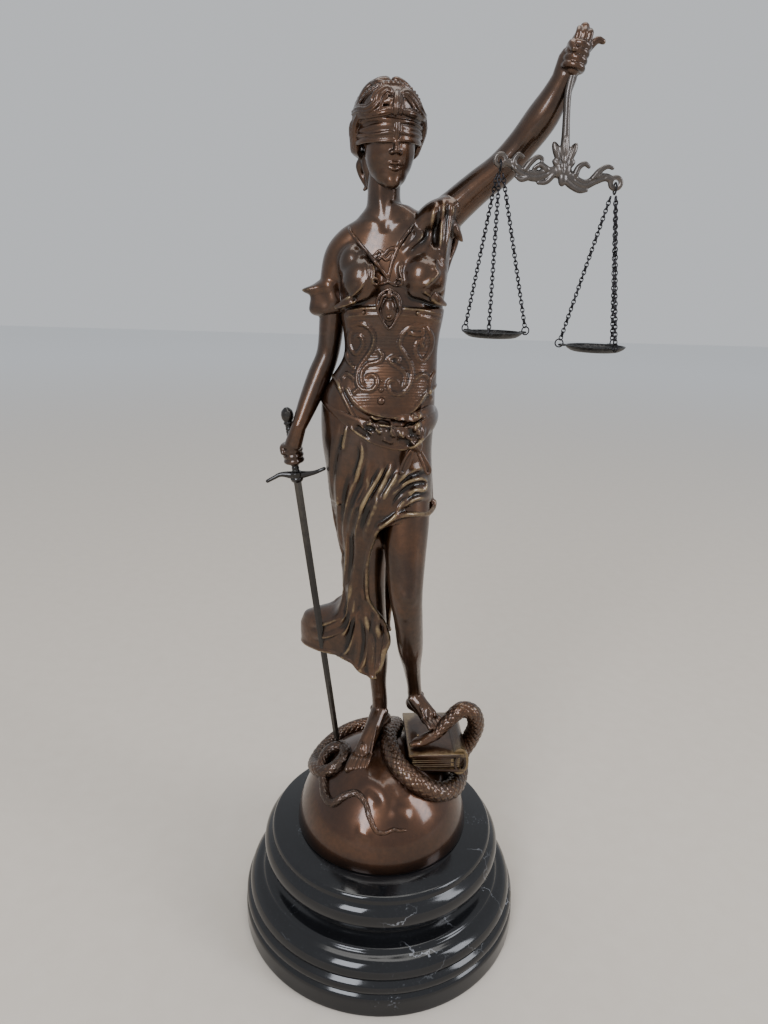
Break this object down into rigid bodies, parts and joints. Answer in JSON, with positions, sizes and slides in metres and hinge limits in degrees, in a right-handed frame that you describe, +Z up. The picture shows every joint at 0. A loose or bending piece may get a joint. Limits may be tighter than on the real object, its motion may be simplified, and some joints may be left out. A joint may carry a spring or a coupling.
{
  "type": "lady justice statue",
  "caption": "Blindfolded classical figure in draped dress on a dome and round stepped plinth, holding up a hanging balance and a lowered sword, for a desk or shelf.",
  "frame": {"origin": "centre of the plinth's flat underside", "axes": "+Z up through the plinth's turning axis, -Y the front the figure faces, +X the viewer's right, the side of the raised arm"},
  "size_m": [0.2409, 0.2118, 0.6127],
  "materials": {
    "marble": "polished black marble",
    "bronze": "dark brown patinated bronze, worn bright on the edges",
    "dark_bronze": "nearly black patina",
    "grey_bronze": "grey-brown satin",
    "gunmetal": "blackened wire and sheet"
  },
  "bodies": {
    "root": {"plinth": "marble", "figure": "bronze", "sword": "dark_bronze", "scale_beam": "grey_bronze", "ring_left": "gunmetal", "ring_right": "gunmetal", "chain_left_1": "gunmetal", "chain_left_2": "gunmetal", "chain_left_3": "gunmetal", "chain_right_1": "gunmetal", "chain_right_2": "gunmetal", "chain_right_3": "gunmetal", "pan_left": "gunmetal", "pan_right": "gunmetal"}
  },
  "joints": []
}
